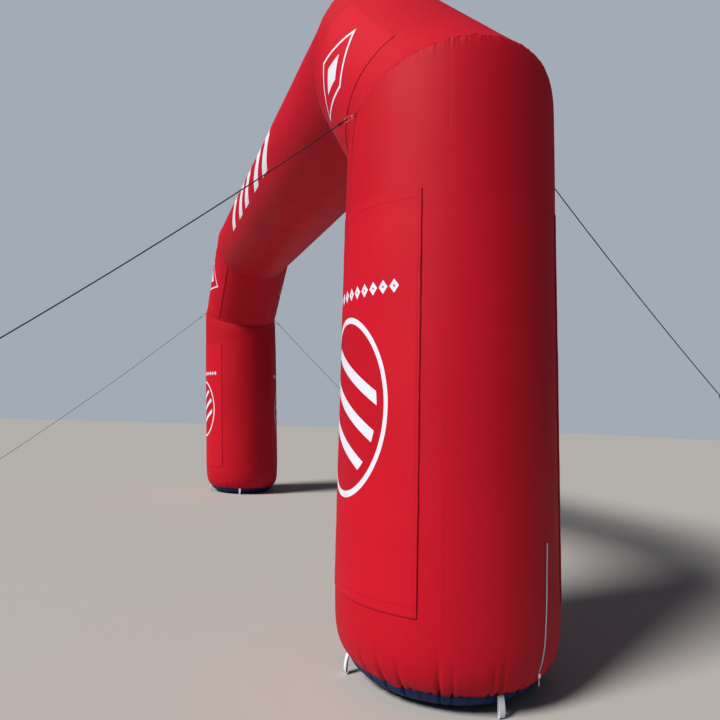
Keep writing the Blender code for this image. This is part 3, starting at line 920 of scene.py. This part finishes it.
def make_zip(finish, steel):
    """The closed zip on the right leg, on its own line, with the slider and pull at its foot."""
    tube = leg_tube(1)
    places = stations(ZIP_LINE[0][0], ZIP_LINE[-1][0], 0.012, (), 0.012, 1.0)
    half = ZIP_WIDTH / 2 / TUBE_RADIUS

    def line(place):
        for (low, first), (high, last) in zip(ZIP_LINE, ZIP_LINE[1:]):
            if place <= high:
                return math.radians(first + (last - first) * (place - low) / (high - low))
        return math.radians(ZIP_LINE[-1][1])

    def spot(share, place):
        lift = 0.0014 + 0.0014 * (1 - share**2)
        return tube.point(line(place) + share * half, place, lift)

    shares = (-1, -0.6, -0.3, 0, 0.3, 0.6, 1)
    mesh = wrapped_grid(shares, places, spot, lambda share, place: (share * ZIP_WIDTH / 2, place))
    mesh.normal_update()
    face_outwards(mesh, tube, math.radians(112))
    obj = piece("zip_teeth", mesh, finish)
    solid = obj.modifiers.new("Tape", "SOLIDIFY")
    solid.thickness = 0.0012
    solid.offset = 1
    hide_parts("zip_chain")
    for node, look in (("zip_slider", steel), ("zip_pull", finish)):
        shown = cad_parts[node]
        shown.data.materials.clear()
        shown.data.materials.append(look)


# Camera, floor and light


CAMERA_PLACE = (6.4512, -1.6416 + ARCH_Y, 1.3338)
CAMERA_TURN = (68.626, 5.718, 1.898)  # heading, pitch and roll in degrees
SUN_TURN = (15, 43)  # from the front towards the right, and height, in degrees


def set_camera():
    heading, pitch, roll = (math.radians(value) for value in CAMERA_TURN)
    data = bpy.data.cameras.new("camera")
    data.sensor_width = 36
    data.lens = 28.46
    data.clip_end = 200
    camera = bpy.data.objects.new("camera", data)
    turn = Matrix.Rotation(heading, 4, "Z") @ Matrix.Rotation(math.pi / 2 + pitch, 4, "X")
    camera.matrix_world = Matrix.Translation(CAMERA_PLACE) @ turn @ Matrix.Rotation(roll, 4, "Z")
    bpy.context.scene.collection.objects.link(camera)
    bpy.context.scene.camera = camera


def set_floor():
    """A plain pale floor."""
    mesh = bmesh.new()
    bmesh.ops.create_grid(mesh, x_segments=1, y_segments=1, size=60.0)
    data = bpy.data.meshes.new("floor")
    mesh.to_mesh(data)
    mesh.free()
    recipe = Recipe("pale_floor", (0.52, 0.52, 0.52), 0.95, specular=0.1)
    data.materials.append(recipe.material)
    floor = bpy.data.objects.new("floor", data)
    floor.location.z = -0.001
    bpy.context.scene.collection.objects.link(floor)


def set_light():
    """A soft key light from the front, an even fill and a plain backdrop."""
    world = bpy.data.worlds.new("studio")
    world.use_nodes = True
    tree = world.node_tree
    fill = tree.nodes["Background"]
    fill.inputs["Color"].default_value = (0.80, 0.88, 1.0, 1)
    fill.inputs["Strength"].default_value = 0.13
    backdrop = tree.nodes.new("ShaderNodeBackground")
    backdrop.inputs["Color"].default_value = (0.42, 0.46, 0.52, 1)
    ray = tree.nodes.new("ShaderNodeLightPath")
    choice = tree.nodes.new("ShaderNodeMixShader")
    tree.links.new(ray.outputs["Is Camera Ray"], choice.inputs[0])
    tree.links.new(fill.outputs[0], choice.inputs[1])
    tree.links.new(backdrop.outputs[0], choice.inputs[2])
    tree.links.new(choice.outputs[0], tree.nodes["World Output"].inputs["Surface"])
    bpy.context.scene.world = world
    bpy.context.scene.view_settings.view_transform = "Standard"
    bpy.context.scene.view_settings.gamma = 0.86
    data = bpy.data.lights.new("key", "SUN")
    data.energy = 4.1
    data.color = (1.0, 0.95, 0.88)
    data.angle = math.radians(18)
    key = bpy.data.objects.new("key", data)
    azimuth, height = (math.radians(value) for value in SUN_TURN)
    towards = Vector((
        math.sin(azimuth) * math.cos(height), -math.cos(azimuth) * math.cos(height), math.sin(height)))
    key.rotation_euler = towards.to_track_quat("Z", "Y").to_euler()
    bpy.context.scene.collection.objects.link(key)


def main():
    set_camera()
    cord, steel = cord_cloth(), steel_finish()
    # slit=True lays painted shade in the gaping front seam of each leg
    leg_red = cloth("red_leg_cloth", SEAM_HEIGHT, LEG_TOP, TUBE_RADIUS, slit=True)
    shoulder_red = cloth("red_shoulder_cloth", 0.0, SHOULDER_LENGTH, SLIM_RADIUS)
    beam_red = cloth("red_beam_cloth", 0.0, 2 * BEAM_X, SLIM_RADIUS, chevrons=True)
    for side in (1, -1):
        for face in (-1, 1):
            make_guy_rope(side, face, cord, steel, shoulder_red)
    blue = base_cloth()
    leg_print, shoulder_print = leg_banner_cloth(), shoulder_banner_cloth()
    for side, where in ((1, "right"), (-1, "left")):
        leg, shoulder = leg_tube(side), shoulder_tube(side)
        make_leg(side, leg_red)
        make_foot(side, blue)
        make_span(shoulder, f"shoulder_cloth_{where}", f"shoulder_{where}", shoulder_red, 0.034)
        for face, middle in (("front", 0.0), ("back", math.pi)):
            for part, tube, sizes, look in (
                ("leg", leg, LEG_BANNER, leg_print), ("shoulder", shoulder, SHOULDER_BANNER, shoulder_print)
            ):
                make_banner(
                    tube, f"{part}_print_{where}_{face}", f"banner_{part}_{where}_{face}", look, middle,
                    sizes[0], sizes[1:], 1.0 if face == "front" else 0.3,
                )
    make_span(beam_tube(), "beam_cloth", "beam", beam_red, 0.040)
    webbing = webbing_cloth()
    for loop in LOOPS:
        make_webbing_loop(*loop, webbing)
    make_zip(zip_finish(), steel)
    set_floor()
    set_light()


main()
bpy.context.view_layer.update()
